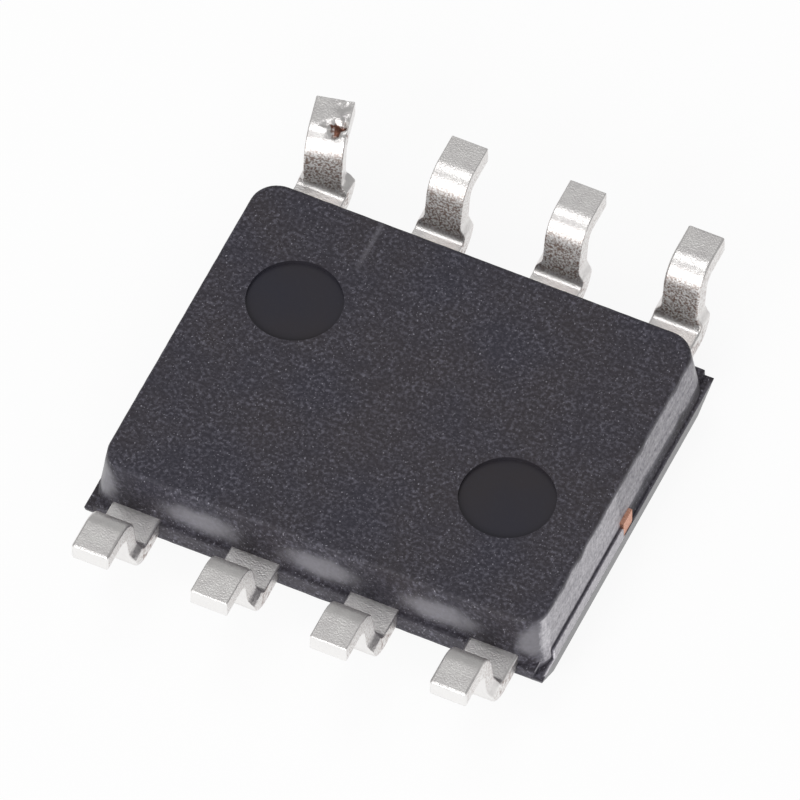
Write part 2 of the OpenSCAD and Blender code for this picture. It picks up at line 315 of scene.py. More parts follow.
@dataclass(frozen=True)
class MouldedEpoxy(Finish):
    """Silica-filled epoxy from a spark-eroded mould: dark, matt, with filler grains painted as glints."""

    grit: float = 0.034  # size of the eroded texture's grains, in mm
    relief: float = 0.009  # height of the grit, in mm
    speck: float = 0.024  # size of the filler grains that are painted as glints, in mm
    cloud: float = 0.9  # size of the warm and cool clouds, in mm
    drift: float = 0.16  # size of the places with more pale grit and less, in mm
    scuff: float = 0.035  # size of the marks in scuffed and broken places, in mm
    speck_colour: str = "#767480"  # the paler grit
    painted_glint: str = "#a19fa9"  # the brightest filler grains, painted as glints of light
    scuff_and_reflection: str = "#77757c"  # where a tool rubbed the surface, and painted reflection on the rub marks and the +X end's wall
    broken_and_reflection: str = "#d0cdd2"  # where the resin broke away and filler lies bare, and the palest painted reflection on the +X end's wall
    warm: str = "#362f31"
    cool: str = "#2c2b39"
    sheen: float = 0.25  # specular level of the matt surface
    ior: float = 1.55  # typical of epoxy

    def build(self) -> Material:
        """Makes the material.

        Returns:
            A material that reads two attributes of the mesh: "burnish", from 0 for grit to 1 for
            polished, and "pale", from 0 for black through scuffs and painted reflection to 1.3 for broken
            resin.
        """
        material, tree = self.start()
        place = self.millimetres(tree)
        burnish = add_node(tree, "Attribute", attribute_name="burnish").outputs["Fac"]
        matt = add_node(tree, "Math", {0: 1.0, 1: burnish}, operation="SUBTRACT")
        grains = add_node(tree, "TexNoise", {"Vector": place, "Scale": 1 / self.grit, "Detail": 3})
        height = add_node(tree, "Math", {0: grains, 1: matt}, operation="MULTIPLY")
        roughness = {0: matt, 1: self.roughness * 0.4, 2: self.roughness * 0.6}
        level = {0: burnish, 1: 0.5, 2: self.sheen}
        inputs = {
            "Base Color": self.tone(tree, place, matt),
            "Roughness": add_node(tree, "Math", roughness, operation="MULTIPLY_ADD"),
            "Normal": add_node(tree, "Bump", {"Height": height, "Distance": self.relief * MM}),
            "IOR": self.ior,
            "Specular IOR Level": add_node(tree, "Math", level, operation="MULTIPLY_ADD"),
        }
        self.surface(tree, inputs)
        return material

    def tone(self, tree: NodeTree, place: Node, matt: Node) -> Node:
        """Lays the colours over each other: clouds, scuffs and painted reflections, pale grit and painted
        glints.

        Args:
            tree: the material's nodes.
            place: coordinates in mm.
            matt: how gritty a place is, from 0 to 1.

        Returns:
            The node that gives the colour.
        """
        clouds = self.patches(tree, place, self.cloud, 0.35, 0.65)
        tint = self.layers(tree, linear(self.warm), [(clouds, self.cool)])
        marks = self.patches(tree, place, self.scuff, 0.25, 0.75)
        uneven = add_node(tree, "Math", {0: marks, 1: 0.3, 2: 0.85}, operation="MULTIPLY_ADD")
        pale = add_node(tree, "Attribute", attribute_name="pale").outputs["Fac"]
        pale = add_node(tree, "Math", {0: pale, 1: uneven}, operation="MULTIPLY")
        # Bare filler on broken resin; on the +X end's wall this coat is painted reflection.
        bare = add_node(tree, "MapRange", {"Value": pale, "From Min": 0.7, "From Max": 1.15})
        mottle = self.patches(tree, place, 1.15 * self.grit, 0.46, 0.72)
        denser = self.patches(tree, place, self.drift, 0.3, 0.7, 2)
        share = add_node(tree, "Math", {0: denser, 1: 0.45, 2: 0.15}, operation="MULTIPLY_ADD")
        share = add_node(tree, "Math", {0: mottle, 1: share}, operation="MULTIPLY")
        # Painted glints: pale specks in the colour stand in for the sparkle of filler grains.
        glint_specks = self.patches(tree, self.millimetres(tree, (1.3, 0.9, 1)), self.speck, 0.64, 0.80, 2)
        glint_specks = add_node(tree, "Math", {0: glint_specks, 1: matt}, operation="MULTIPLY")
        coats = [(0.35, tint), (pale, self.scuff_and_reflection), (bare, self.broken_and_reflection)]
        coats += [(share, self.speck_colour), (glint_specks, self.painted_glint)]
        return self.layers(tree, linear(self.colour), coats)


@dataclass(frozen=True)
class TinPlate(Finish):
    """Matt electroplated tin: a pale metal with fine grains that blur what it mirrors."""

    grain: float = 0.018  # size of the plating's grains, in mm
    relief: float = 0.003  # height of the grains, in mm
    cloud: float = 0.12  # size of the brighter and duller places, in mm
    spot: float = 0.022  # size of the speckles on the bends, in mm
    tear: float = 0.05  # size of the ragged edge of bare places, in mm
    second: str = "#f2f0ee"  # the brighter places
    bare: str = "#765144"  # copper where the plate is gone
    speckle: str = "#a08c82"  # where copper tints the thin plate of the bends
    edge: str = "#fbfaf9"  # painted highlight on the upright sheared sides and tips

    def build(self) -> Material:
        """Makes the material.

        Returns:
            A material that reads the mesh's "bare" attribute, from 0 for plate to 1 for bare copper.
        """
        material, tree = self.start()
        place = self.millimetres(tree)
        grains = add_node(tree, "TexNoise", {"Vector": place, "Scale": 1 / self.grain, "Detail": 2})
        facing = add_node(tree, "SeparateXYZ", {0: add_node(tree, "NewGeometry").outputs["Normal"]})
        level = add_node(tree, "Math", {0: facing.outputs["Z"]}, operation="ABSOLUTE")
        steep = self.steep(tree, place, facing, level)
        rough = {0: grains, 1: 0.2, 2: self.roughness - 0.1}
        rough = add_node(tree, "Math", rough, operation="MULTIPLY_ADD")
        inputs = {
            "Base Color": self.tone(tree, place, level, steep),
            "Roughness": add_node(tree, "Math", {0: steep, 1: 0.22, 2: rough}, operation="MULTIPLY_ADD"),
            "Normal": add_node(tree, "Bump", {"Height": grains, "Distance": self.relief * MM}),
            "Metallic": 1.0,
        }
        self.surface(tree, inputs)
        return material

    def steep(self, tree: NodeTree, place: Node, facing: Node, level: Node) -> Node:
        """Finds the upright faces that look back at the moulding, where the plate was stretched thin.

        Args:
            tree: the material's nodes.
            place: coordinates in mm.
            facing: the parts of the normal.
            level: how level a face lies, from 0 to 1.

        Returns:
            The node that says how much of such a face a place is, from 0 to 1.
        """
        side = add_node(tree, "SeparateXYZ", {0: place}).outputs["Y"]
        row = add_node(tree, "Math", {0: side}, operation="SIGN")
        outward = {0: facing.outputs["Y"], 1: row, 2: level}
        outward = add_node(tree, "Math", outward, operation="MULTIPLY_ADD")
        return add_node(tree, "MapRange", {"Value": outward, "From Min": 0.5, "From Max": -0.8})

    def tone(self, tree: NodeTree, place: Node, level: Node, steep: Node) -> Node:
        """Lays the colours over each other: plate, a painted highlight on the sheared sides, speckles and
        bare copper.

        Args:
            tree: the material's nodes.
            place: coordinates in mm.
            level: how level a face lies, from 0 to 1.
            steep: how much the plate was stretched thin, from 0 to 1.

        Returns:
            The node that gives the colour.
        """
        clouds = self.patches(tree, place, self.cloud, 0.3, 0.7)
        # Painted highlight: upright faces, the sheared sides and tips, are made paler for the white paper
        # they mirror.
        sheared = {"Value": level, "From Min": 0.5, "From Max": 0.1, "To Max": 0.8}
        sheared = add_node(tree, "MapRange", sheared)
        spots = self.patches(tree, place, self.spot, 0.42, 0.62, 2)
        spots = add_node(tree, "Math", {0: steep, 1: spots}, operation="MULTIPLY")
        worn = add_node(tree, "Attribute", attribute_name="bare").outputs["Fac"]
        tears = add_node(tree, "TexNoise", {"Vector": place, "Scale": 1 / self.tear, "Detail": 3})
        ragged = add_node(tree, "Math", {0: tears, 1: 0.5, 2: worn}, operation="MULTIPLY_ADD")
        bare = add_node(tree, "MapRange", {"Value": ragged, "From Min": 0.68, "From Max": 0.86})
        coats = [(clouds, self.second), (sheared, self.edge), (spots, self.speckle), (bare, self.bare)]
        return self.layers(tree, linear(self.colour), coats)


@dataclass(frozen=True)
class GrainedMetal(Finish):
    """A bare metal with fine marks, such as sheared copper alloy or drawn gold."""

    second: str  # the other colour of the marks
    grain: float = 0.02  # size of the marks, in mm
    relief: float = 0.002  # height of the marks, in mm
    metallic: float = 1.0

    def build(self) -> Material:
        """Makes the material.

        Returns:
            The material.
        """
        material, tree = self.start()
        place = self.millimetres(tree)
        grains = add_node(tree, "TexNoise", {"Vector": place, "Scale": 1 / self.grain, "Detail": 3})
        share = add_node(tree, "MapRange", {"Value": grains, "From Min": 0.35, "From Max": 0.65})
        inputs = {
            "Base Color": self.layers(tree, linear(self.colour), [(share, self.second)]),
            "Normal": add_node(tree, "Bump", {"Height": grains, "Distance": self.relief * MM}),
            "Metallic": self.metallic,
        }
        self.surface(tree, inputs)
        return material


@dataclass(frozen=True)
class Paper(Finish):
    """Seamless white paper, which shows as white and keeps part of the chip's shadow."""

    shadow: float = 0.09  # share of the shadow that is kept

    def build(self) -> Material:
        """Makes the material.

        Returns:
            The material.
        """
        material, tree = self.start()
        rays = add_node(tree, "LightPath").outputs
        seen = {0: rays["Is Camera Ray"], 1: rays["Is Glossy Ray"]}
        seen = add_node(tree, "Math", seen, operation="MAXIMUM")
        seen = add_node(tree, "Math", {0: seen, 1: rays["Is Transmission Ray"]}, operation="MAXIMUM")
        share = add_node(tree, "Math", {0: seen, 1: 1 - self.shadow}, operation="MULTIPLY")
        plain = {"Base Color": linear(self.colour), "Roughness": self.roughness}
        sheet = add_node(tree, "BsdfPrincipled", plain)
        glow = add_node(tree, "Emission", {"Color": (1, 1, 1, 1)})
        mixed = add_node(tree, "MixShader", {0: share, 1: sheet, 2: glow})
        add_node(tree, "OutputMaterial", {"Surface": mixed})
        return material


# ---- Moulding ----


@dataclass(frozen=True)
class Wear:
    """How uneven a kind of surface is, in millimetres."""

    depth: float
    spacing: float  # from one hollow to the next
    sunk: float = 0.0  # how far the surface lies in on the whole

    def offset(self, point: Vector) -> float:
        """How far the surface stands out at a point."""
        return self.depth * noise.noise(point / self.spacing) - self.sunk


@dataclass
class Moulding:
    """The epoxy body: a drafted top half, an inset underside half, dam resin and the gate's scar."""

    lip: float = 0.03  # how far the underside half stands in from the parting edge
    under_draft: float = 6.5  # degrees
    top_draft: float = 12.0  # degrees
    corner_r: float = 0.28
    edge_r: float = 0.04  # rounding of the underside's rim
    bevel_w: float = 0.4
    ejector_r: float = 0.48
    ejector_depth: float = 0.045
    ejector_x: float = 1.43
    ejector_y: float = 0.63
    ejector_offset: float = 0.03  # how far the two marks' middle lies off the body's, along Y
    dimple_r: float = 0.3
    dimple_depth: float = 0.08
    dimple_inset: float = 0.66  # from the edges of the marked face
    gate_len: float = 1.6
    gate_h: float = 0.13
    tie_w: float = 0.2
    overlap: float = 0.2  # reach of the resin and the scar into the wall
    sunk: float = 0.02  # their reach below the parting plane
    inset: float = 0.004  # how far they stay within the parting edge and the leads
    cell: float = 0.04  # spacing of the vertices that wear moves
    edge_break: float = 0.006  # width of the broken edges of the resin and the parting line
    rub_up: float = 0.21  # height of the rub marks' middles over the leads' middle plane
    rub_h: float = 0.16  # scale of their height
    rub_w: float = 0.45  # scale of their length
    rub_shift: float = 0.05  # how far they lie from midway between two leads, along X
    corner_rub: float = 0.22  # reach of the rub on each corner
    scratch_from: tuple = (-1.036, 1.86)  # ends of the fine scratch on the underside
    scratch_to: tuple = (-1.058, 1.26)
    face_wear: Wear = Wear(0.0025, 0.11)
    resin_wear: Wear = Wear(0.006, 0.07, 0.002)
    gate_wear: Wear = Wear(0.005, 0.06, 0.002)
    half: Vector = field(init=False)

    def __post_init__(self) -> None:
        """Reads the sizes that the frame holds."""
        self.half = box_mm("body")[1]
        leads = measured_leads()
        self.part_z, self.shoulder_w, self.pitch = leads.part_z, leads.shoulder_w, leads.pitch
        paddle_low, paddle_high = box_mm("die_paddle")
        self.frame_z = self.part_z + (paddle_high.z - paddle_low.z) / 2
        self.wall_x = self.half.x - self.lip
        self.wall_y = self.half.y - self.lip

    def wall_in(self, height: float) -> float:
        """How far draft has moved the underside half's wall in, at a height."""
        return (height - self.part_z) * math.tan(math.radians(self.under_draft))

    def top_in(self) -> float:
        """How far draft has moved the top half's wall in, at the marked face."""
        return self.part_z * math.tan(math.radians(self.top_draft))

    def slab(self, x: float, y: float, low: float, high: float, inset: float) -> BMesh:
        """Makes a block whose far face is inset for draft.

        Args:
            x: half length at the first face.
            y: half width at the first face.
            low: height of the first face.
            high: height of the far face, above or below the first.
            inset: how far the far face's edges lie inside the first's.

        Returns:
            The block.
        """
        bm = bmesh.new()
        made = ops.create_grid(bm, x_segments=1, y_segments=1, size=1)
        ops.scale(bm, vec=(x, y, 1), verts=made["verts"])
        ops.translate(bm, vec=(0, 0, low), verts=made["verts"])
        grown = ops.extrude_face_region(bm, geom=bm.faces[:])
        far = [v for v in grown["geom"] if isinstance(v, BMVert)]
        ops.translate(bm, vec=(0, 0, high - low), verts=far)
        ops.scale(bm, vec=((x - inset) / x, (y - inset) / y, 1), verts=far)
        ops.recalc_face_normals(bm, faces=bm.faces[:])
        return bm

    def round_edges(self, bm: BMesh, edges: list, width: float, segments: int = 2) -> None:
        """Rounds edges over.

        Args:
            bm: mesh that holds them.
            edges: the edges.
            width: how far the rounding reaches from each edge.
            segments: facets of the rounding.
        """
        sizes = {"offset": width, "segments": segments, "profile": 0.5}
        ops.bevel(bm, geom=edges, affect="EDGES", material=-1, **sizes)

    def top_half(self) -> BMesh:
        """Makes the half that is marked, which lies below, with its bevel along leads 1 to 4.

        Returns:
            The closed half.
        """
        bm = self.slab(self.half.x, self.half.y, self.part_z, 0, self.top_in())
        flat_y = self.half.y - self.top_in() - self.bevel_w
        cut = ops.bisect_plane(
            bm,
            geom=bm.verts[:] + bm.edges[:] + bm.faces[:],
            plane_co=(0, -flat_y, 0),
            plane_no=Vector((0, -1, -1)).normalized(),
            clear_outer=True,
        )
        rim = [e for e in cut["geom_cut"] if isinstance(e, BMEdge)]
        ops.contextual_create(bm, geom=rim)
        self.round_edges(bm, bm.edges[:], self.edge_break)
        return bm

    def under_half(self) -> BMesh:
        """Makes the underside half, with round upright corners and a rounded rim.

        Returns:
            The closed half.
        """
        depth = self.half.z - self.part_z
        root = 0.01  # reach into the top half, so that the two join
        bm = self.slab(self.wall_x, self.wall_y, self.part_z - root, self.half.z, self.wall_in(self.half.z))
        upright = [e for e in bm.edges if abs(e.verts[0].co.z - e.verts[1].co.z) > depth / 2]
        self.round_edges(bm, upright, self.corner_r, 10)
        rim = [e for e in bm.edges if all(v.co.z > self.half.z - 1e-4 for v in e.verts)]
        self.round_edges(bm, rim, self.edge_r, 4)
        return bm

    def block(self, low: tuple, high: tuple) -> BMesh:
        """Makes a plain block with its edges just broken.

        Args:
            low: its lowest corner.
            high: its highest corner.

        Returns:
            The block.
        """
        bm = bmesh.new()
        made = ops.create_cube(bm, size=1)
        ops.scale(bm, vec=Vector(high) - Vector(low), verts=made["verts"])
        ops.translate(bm, vec=(Vector(high) + Vector(low)) / 2, verts=made["verts"])
        self.round_edges(bm, bm.edges[:], self.edge_break)
        return bm

    def disc(self, middle: tuple, radius: float, depth: float) -> BMesh:
        """Makes a round cutter.

        Args:
            middle: its middle.
            radius: its radius.
            depth: how far it reaches above and below its middle.

        Returns:
            The cutter.
        """
        bm = bmesh.new()
        sizes = {"radius1": radius, "radius2": radius, "depth": 2 * depth}
        ops.create_cone(bm, cap_ends=True, segments=96, matrix=Matrix.Translation(middle), **sizes)
        return bm

    def resin(self) -> list[BMesh]:
        """Makes the resin that filled the gaps beside the leads, up to the dam bar.

        Returns:
            A block for each gap of both rows, and one past each end of a row.
        """
        gap = self.pitch - self.shoulder_w
        spans = [(n * self.pitch - gap / 2, n * self.pitch + gap / 2) for n in (-1, 0, 1)]
        outer = 1.5 * self.pitch + self.shoulder_w / 2
        spans += [(outer, outer + gap / 4), (-outer - gap / 4, -outer)]
        blocks = []
        for side in (-1, 1):
            for low_x, high_x in spans:
                low_y, high_y = sorted((side * (self.half.y - self.overlap), side * self.half.y))
                past_row = max(abs(low_x), abs(high_x)) > outer
                top = self.part_z + 0.08 if past_row else self.frame_z - self.inset
                low = (low_x, low_y, self.part_z - self.sunk)
                blocks.append(self.block(low, (high_x, high_y, top)))
        return blocks

    def scar(self) -> BMesh:
        """Makes the gate's broken stub along the +X end.

        Returns:
            The stub.
        """
        high_y = -self.tie_w / 2
        low = (self.half.x - self.overlap, high_y - self.gate_len, self.part_z - self.sunk)
        return self.block(low, (self.half.x - self.inset, high_y, self.part_z + self.gate_h))

    def mark_place(self, side: int) -> tuple[float, float]:
        """Middle of an ejector-pin mark in plan."""
        return side * self.ejector_x, self.ejector_offset - side * self.ejector_y

    def marks(self) -> list[BMesh]:
        """Makes the cutters of the two ejector-pin marks and the pin-one dimple.

        Returns:
            The cutters.
        """
        cutters = []
        for side in (-1, 1):
            middle = (*self.mark_place(side), self.half.z)
            cutters.append(self.disc(middle, self.ejector_r, self.ejector_depth))
        dimple_x = self.half.x - self.top_in() - self.dimple_inset
        dimple_y = self.dimple_inset - (self.half.y - self.top_in() - self.bevel_w)
        return cutters + [self.disc((dimple_x, dimple_y, 0), self.dimple_r, self.dimple_depth)]

    def shape(self) -> BMesh:
        """Puts the moulding together from its halves, resin and marks.

        Returns:
            The closed solid.
        """
        bm = combine(self.under_half(), self.top_half(), Solid.JOIN)
        for added in self.resin() + [self.scar()]:
            bm = combine(bm, added, Solid.JOIN)
        for cutter in self.marks():
            bm = combine(bm, cutter, Solid.CUT)
        ops.remove_doubles(bm, verts=bm.verts, dist=1e-4)
        for axis, (low, high) in enumerate(zip((-self.half.x, -self.half.y, 0), self.half)):
            cut_into_cells(bm, axis, low, high, self.cell)
        return bm

    def rubbed(self, point: Vector) -> float:
        """Works out how much the trim and form tool burnished the long walls and corners.

        Args:
            point: a point of the surface.

        Returns:
            A number from 0 for grit to 1 for polished.
        """
        if point.z < self.part_z and abs(point.x) > self.wall_x - 0.15:
            return 0.85 * smooth_step(0.0, 0.05, self.part_z - point.z)
        if point.z < self.frame_z or point.z > self.half.z - self.edge_r / 2:
            return 0.0
        height = (point.z - (self.frame_z + self.rub_up)) / self.rub_h
        shifted = point.x - self.rub_shift
        long_wall = abs(point.y) > self.wall_y - 0.12 and abs(point.x) < 2 * self.pitch
        if long_wall and abs(shifted) < 1.6 * self.pitch:
            across = (shifted - self.pitch * round(shifted / self.pitch)) / self.rub_w
            ragged = 0.12 * noise.noise(point * 9)
            return 1 - smooth_step(0.35, 1.2, math.hypot(across, height) + 1.6 * ragged)
        corner = math.hypot(abs(point.x) - self.wall_x + 0.08, abs(point.y) - self.wall_y + 0.1)
        away = math.hypot(corner / self.corner_rub, height * 0.7) + 0.2 * noise.noise(point * 11)
        return 1 - smooth_step(0.6, 1.15, away)

    def painted_end_reflection(self, point: Vector, normal: Vector, gate_side: float) -> float:
        """Works out how pale the +X end's wall is painted, as the reflection of grazing light it shows;
        beside the gate the painted band reaches lower and is a little paler.

        Args:
            point: a point of the surface.
            normal: the surface's normal there.
            gate_side: 1 beside the gate, and 0 past the tie bar.

        Returns:
            A number from 0 for black to about 1.2, as pale as broken resin.
        """
        on_wall = point.x > self.wall_x - 0.2 and abs(point.y) < self.wall_y
        if normal.x <= 0.2 or not on_wall or point.z <= self.part_z - 0.01:
            return 0.0
        ragged = 0.05 * noise.noise(Vector((0, point.y * 5, 1)))
        foot = self.part_z + 0.16 - 0.14 * gate_side + ragged
        band = smooth_step(foot - 0.02, foot + 0.04, point.z)
        rim = 1 - smooth_step(self.half.z - 0.09, self.half.z - 0.01, point.z + ragged)
        streaks = 0.5 + 0.5 * noise.noise(Vector((0, point.y * 3, point.z * 22)))
        facing = smooth_step(0.55, 0.97, normal.x)
        return facing * band * rim * (0.75 + 0.3 * streaks + 0.15 * gate_side)

    def scratched(self, point: Vector) -> float:
        """Works out where the fine scratch on the underside passes.

        Args:
            point: a point of the surface.

        Returns:
            How pale the scratch makes it, from 0 to 0.4.
        """
        if point.z < self.half.z - 0.01:
            return 0.0
        first = Vector(self.scratch_from)
        run = Vector(self.scratch_to) - first
        t = min(1.0, max(0.0, (point.xy - first).dot(run) / run.length_squared))
        return 0.4 * (1 - smooth_step(0.006, 0.02, (point.xy - first - run * t).length))

    def paleness(self, point: Vector, normal: Vector) -> float:
        """Works out how pale the resin is: filler shows in scuffs, the scratch and broken faces, and
        painted reflection lightens the rub marks, the +X end's wall and its lip.

        Args:
            point: a point of the surface.
            normal: the surface's normal there.

        Returns:
            A number from 0 for black to 1.3 for broken resin.
        """
        gate_side = 1 - smooth_step(-0.02, 0.06, point.y + self.tie_w / 2)
        # The +X end's wall is painted pale as the reflection it shows.
        pale = [self.scratched(point), self.painted_end_reflection(point, normal, gate_side)]
        # Rub marks are painted paler for the reflection they show, as well as burnished.
        if point.z > self.part_z:
            pale.append(0.62 * self.rubbed(point))
        # The lip past the +X wall is painted pale for the grazing reflection it shows; beside the gate the
        # scar's broken resin makes it paler.
        beyond = point.x > self.wall_x + 0.004 and abs(point.y) < self.wall_y - 0.05
        if beyond and point.z > self.part_z - 0.03:
            pale.append(0.55 + 0.75 * gate_side)
        if abs(point.y) > self.wall_y + 0.005 and point.z > self.part_z + 0.01:
            pale.append(0.08)
        return min(1.3, max(pale))

    def in_mark(self, point: Vector) -> bool:
        """Tells whether a point is in an ejector-pin mark, on its floor or its wall.

        Args:
            point: a point of the surface.

        Returns:
            Whether it is.
        """
        if point.z < self.half.z - self.ejector_depth - 0.002:
            return False
        away = min((point.xy - Vector(self.mark_place(side))).length for side in (-1, 1))
        return away < self.ejector_r + 1e-3

    def wear(self, bm: BMesh) -> None:
        """Moves vertices for the uneven grit, the ragged resin and the broken gate.

        Args:
            bm: the finished shape.
        """
        bm.normal_update()
        moves = []
        for vert in bm.verts:
            point = vert.co
            kind = self.face_wear
            if self.in_mark(point) or point.z < self.cell / 2:
                kind = None
            elif abs(point.y) > self.wall_y + 0.01 and point.z > self.part_z + 0.02:
                kind = self.resin_wear
            elif point.x > self.wall_x + 0.005 and point.z > self.part_z + 0.02:
                kind = self.gate_wear
            moves.append(vert.normal * (kind.offset(point) if kind else 0.0))
        for vert, move in zip(bm.verts, moves):
            vert.co += move

    def build(self, epoxy: Material, floor: Material) -> Object:
        """Makes the moulding's piece.

        Args:
            epoxy: material of the gritty surfaces.
            floor: material of the smooth ejector-pin marks.

        Returns:
            The piece, which stands for the body's solid.
        """
        bm = self.shape()
        burnish = bm.verts.layers.float.new("burnish")
        pale = bm.verts.layers.float.new("pale")
        bm.normal_update()
        for vert in bm.verts:
            vert[burnish] = self.rubbed(vert.co)
            vert[pale] = self.paleness(vert.co, vert.normal)
        for face in bm.faces:
            face.material_index = int(self.in_mark(face.calc_center_median()))
        self.wear(bm)
        piece = finish_mesh(bm, "moulding")
        for material in (epoxy, floor):
            piece.data.materials.append(material)
        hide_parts("body")
        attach(piece, "root")
        return piece


# ---- Leads ----


@dataclass(frozen=True)
class Blow:
    """A place where the knocked lead was scraped, with its sizes in millimetres."""

    x: float  # place across the foot
    from_tip: float
    reach: float
    depth: float
    copper: float  # how much copper shows, from 0 to 1


@dataclass
class Lead:
    """One gull-wing lead: the finger of its solid, and a finer shoulder, leg, heel and foot."""

    number: int
    thick: float = 0.2
    width: float = 0.39
    lip: float = 0.03
    formed: float = 0.68  # distance from the crease where the lead turns up to its tip
    leg_angle: float = 80.0  # degrees
    shoulder_r: float = 0.08
    heel_r: float = 0.3
    stub_h: float = 0.02
    stub_taper: float = 0.12  # height over which the stubs narrow to the leg
    edge_round: float = 0.035  # width of the stamped edges' rounding
    knock_turn: float = 13.0  # degrees
    knock_push: float = 0.03
    knock_drop: float = 0.045
    blows: tuple = (
        Blow(0.12, 0.10, 0.07, 0.02, 0.2),
        Blow(0.10, 0.38, 0.12, 0.04, 0.62),
        Blow(0.13, 0.30, 0.06, 0.03, 0.5),
    )
    per_row: int = 4
    across: int = 14  # cells across the strip
    through: int = 4  # cells through its thickness
    bend_steps: int = 20

    def __post_init__(self) -> None:
        """Reads the sizes that the frame holds."""
        self.edge_y = box_mm("body")[1].y
        leads = measured_leads()
        self.part_z, self.sole_z, self.tip_y = leads.part_z, leads.sole_z, leads.tip_y
        self.shoulder_w, self.pitch = leads.shoulder_w, leads.pitch
        self.crease_y = self.tip_y - self.formed
        self.taper_z = self.part_z + self.thick + self.stub_h

    @property
    def row(self) -> int:
        """-1 for leads 1 to 4, and 1 for leads 5 to 8."""
        return -1 if self.number <= self.per_row else 1

    @property
    def x(self) -> float:
        """Middle of the lead along its row."""
        place = self.per_row + 1 - self.number if self.row < 0 else self.number - self.per_row
        return (place - (self.per_row + 1) / 2) * self.pitch

    def own_frame(self) -> Matrix:
        """The turn and move from the lead's own frame, at x = 0 and towards +Y, to its place."""
        turn = Matrix.Rotation(0 if self.row > 0 else math.pi, 4, "Z")
        return Matrix.Translation((self.x, 0, 0)) @ turn

    def above_stubs(self, height: float) -> float:
        """How far the stubs have narrowed to the leg at a height, from 0 to 1."""
        return smooth_step(self.taper_z, self.taper_z + self.stub_taper, height)

    def finger(self, cut_y: float) -> BMesh:
        """Takes the part of the lead's solid that is inside the moulding.

        Args:
            cut_y: distance from the middle at which it is cut off.

        Returns:
            The finger in the lead's own frame, open where it was cut.
        """
        bm = bmesh.new()
        bm.from_mesh(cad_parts[f"lead_{self.number}"].data)
        ops.scale(bm, vec=(1 / MM,) * 3, verts=bm.verts)
        ops.transform(bm, matrix=self.own_frame().inverted(), verts=bm.verts)
        ops.remove_doubles(bm, verts=bm.verts, dist=1e-4)
        ops.bisect_plane(
            bm,
            geom=bm.verts[:] + bm.edges[:] + bm.faces[:],
            plane_co=(0, cut_y, 0),
            plane_no=(0, 1, 0),
            clear_outer=True,
        )
        ops.dissolve_limit(bm, angle_limit=0.01, verts=bm.verts, edges=bm.edges)
        return bm

    def section(self, bm: BMesh, start_y: float) -> list:
        """Adds the outline of the strip's section, divided into cells.

        Args:
            bm: mesh that gets it.
            start_y: where it stands.

        Returns:
            The edges of the outline.
        """
        made = ops.create_grid(bm, x_segments=self.across, y_segments=self.through, size=0.5)
        verts = made["verts"]
        edges = {e for v in verts for e in v.link_edges}
        rim = [e for e in edges if e.is_boundary]
        ops.scale(bm, vec=(self.shoulder_w, self.thick, 1), verts=verts)
        ops.rotate(bm, matrix=Matrix.Rotation(math.pi / 2, 3, "X"), verts=verts)
        ops.translate(bm, vec=(0, start_y, self.part_z + self.thick / 2), verts=verts)
        ops.delete(bm, geom=list(edges.difference(rim)), context="EDGES_FACES")
        return [e for e in rim if e.is_valid]

    def strip(self, bm: BMesh, start_y: float) -> list:
        """Adds the bent strip outside the moulding.

        Args:
            bm: mesh that gets it.
            start_y: where it starts.

        Returns:
            The edges that it starts from.
        """
        angle = math.radians(self.leg_angle)
        knee_y = self.crease_y - self.shoulder_r * math.tan(angle / 2)
        knee_z = self.part_z + self.thick + self.shoulder_r
        leg_y = knee_y + self.shoulder_r * math.sin(angle)
        leg_z = knee_z - self.shoulder_r * math.cos(angle)
        heel_z = self.sole_z - self.heel_r * (1 - math.cos(angle))
        leg_l = (heel_z - leg_z) / math.sin(angle)
        heel_y = leg_y + leg_l * math.cos(angle) + self.heel_r * math.sin(angle)
        leg = Vector((0, math.cos(angle), math.sin(angle))) * leg_l
        start = self.section(bm, start_y)
        loop = self.grow(bm, start, Vector((0, knee_y - start_y, 0)), 6)
        loop = self.bend(bm, loop, (0, knee_y, knee_z), angle)
        loop = self.grow(bm, loop, leg, 8)
        loop = self.bend(bm, loop, (0, heel_y, self.sole_z - self.heel_r), -angle)
        loop = self.grow(bm, loop, Vector((0, self.tip_y - heel_y, 0)), 10)
        ops.contextual_create(bm, geom=loop)
        return start

    def grow(self, bm: BMesh, loop: list, run: Vector, count: int) -> list:
        """Extrudes a loop of edges along a straight run.

        Args:
            bm: mesh that holds the loop.
            loop: its edges.
            run: the whole move.
            count: number of equal stretches.

        Returns:
            The loop's edges at the far end.
        """
        for _ in range(count):
            grown = ops.extrude_edge_only(bm, edges=loop)["geom"]
            far = [v for v in grown if isinstance(v, BMVert)]
            loop = [e for e in grown if isinstance(e, BMEdge)]
            ops.translate(bm, vec=run / count, verts=far)
        return loop

    def bend(self, bm: BMesh, loop: list, centre: tuple, angle: float) -> list:
        """Spins a loop of edges round a line along X.

        Args:
            bm: mesh that holds the loop.
            loop: its edges.
            centre: a point on the line.
            angle: angle of the bend, in radians, positive for a bend upwards.

        Returns:
            The loop's edges at the far end.
        """
        geometry = list({v for e in loop for v in e.verts}) + loop
        spin = {"cent": centre, "axis": (1, 0, 0), "angle": angle, "steps": self.bend_steps}
        spun = ops.spin(bm, geom=geometry, **spin)
        return [e for e in spun["geom_last"] if isinstance(e, BMEdge)]

    def narrow(self, verts: Iterable[BMVert]) -> None:
        """Narrows the leg and foot above the dam bar's stubs.

        Args:
            verts: vertices of the strip.
        """
        ratio = self.width / self.shoulder_w
        for vert in verts:
            vert.co.x *= 1 + (ratio - 1) * self.above_stubs(vert.co.z)

